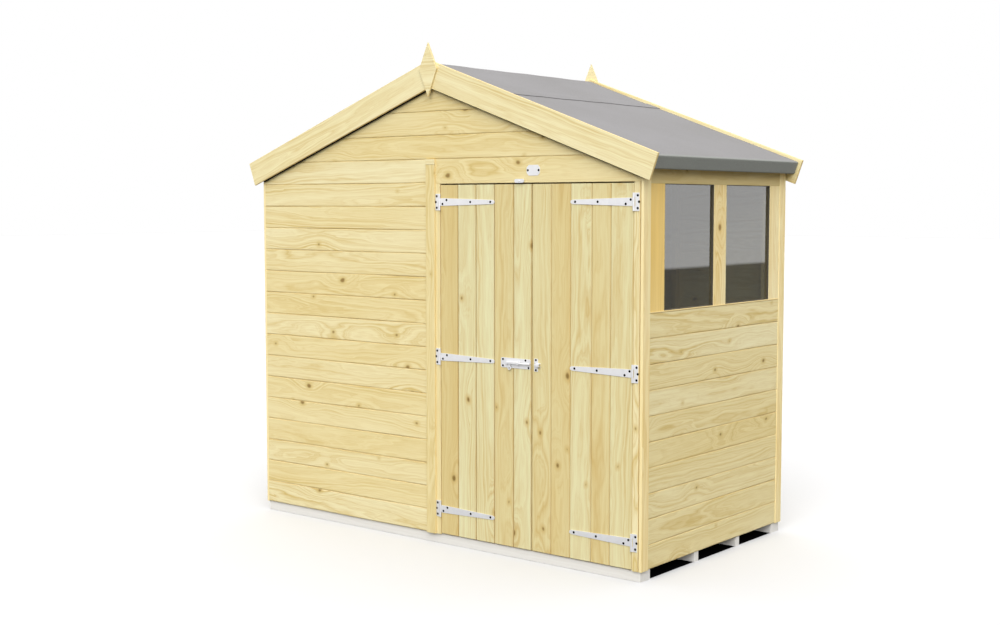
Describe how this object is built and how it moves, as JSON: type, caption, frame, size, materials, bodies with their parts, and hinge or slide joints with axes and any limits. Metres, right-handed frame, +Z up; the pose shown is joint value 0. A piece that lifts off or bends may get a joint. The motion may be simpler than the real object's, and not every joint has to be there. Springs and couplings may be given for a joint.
{
  "type": "wooden garden shed",
  "caption": "Apex-roofed wooden garden shed with double doors on tee hinges, a sliding bolt, a glazed end wall and a felted roof on bearers.",
  "frame": {"origin": "on the ground under the middle of the shed", "axes": "+X along the door front to the right as seen from outside, +Y from the front to the back, +Z up"},
  "size_m": [2.607, 1.374, 2.4458],
  "materials": {
    "cladding": "planed pressure-treated softwood, matt",
    "framing": "sawn softwood, matt",
    "bargeboard": "planed softwood, matt",
    "bearer": "pale sawn softwood, matt",
    "roofing_felt": "mineral-faced bitumen felt, matt",
    "glazing": "clear sheet",
    "zinc_fittings": "bright zinc plate"
  },
  "bodies": {
    "shed": {"front_bearer": "bearer", "second_bearer": "bearer", "third_bearer": "bearer", "back_bearer": "bearer", "floor": "framing", "front_wall": "cladding", "door_posts": "cladding", "door_header": "cladding", "front_gable": "cladding", "front_frame": "framing", "left_wall": "cladding", "left_frame": "framing", "right_wall": "cladding", "window_boards": "cladding", "window_header": "cladding", "right_frame": "framing", "window_panes": "glazing", "back_wall": "cladding", "back_gable": "cladding", "back_frame": "framing", "gable_frames": "framing", "corner_trims": "cladding", "cover_strips": "cladding", "left_roof": "framing", "right_roof": "framing", "roof_rails": "framing", "left_felt": "roofing_felt", "right_felt": "roofing_felt", "ridge_felt": "roofing_felt", "front_left_bargeboard": "bargeboard", "front_right_bargeboard": "bargeboard", "back_left_bargeboard": "bargeboard", "back_right_bargeboard": "bargeboard", "front_finial": "bargeboard", "back_finial": "bargeboard", "left_hinge_plates": "zinc_fittings", "right_hinge_plates": "zinc_fittings", "button_screw": "zinc_fittings", "badge_plate": "zinc_fittings"},
    "left_door": {"left_door": "cladding", "left_door_ledges": "framing", "left_hinge_straps": "zinc_fittings", "bolt_plate": "zinc_fittings"},
    "right_door": {"right_door": "cladding", "right_door_ledges": "framing", "right_hinge_straps": "zinc_fittings", "bolt_keeper": "zinc_fittings"},
    "bolt": {"bolt": "zinc_fittings"},
    "turn_button": {"turn_button": "zinc_fittings"}
  },
  "joints": [
    {"name": "left_door_hinge", "type": "hinge", "parent": "shed", "child": "left_door", "pos_m": [0.048, -0.658, 0.9285], "axis": [0, 0, -1], "range_deg": [0, 165]},
    {"name": "right_door_hinge", "type": "hinge", "parent": "shed", "child": "right_door", "pos_m": [1.169, -0.658, 0.9285], "axis": [0, 0, 1], "range_deg": [0, 165]},
    {"name": "bolt_slide", "type": "slide", "parent": "left_door", "child": "bolt", "axis": [-1, 0, 0], "range_m": [-0.04, 0]},
    {"name": "button_turn", "type": "hinge", "parent": "shed", "child": "turn_button", "pos_m": [0.5415, -0.661, 1.778], "axis": [0, -1, 0], "range_deg": [-90, 0]}
  ]
}
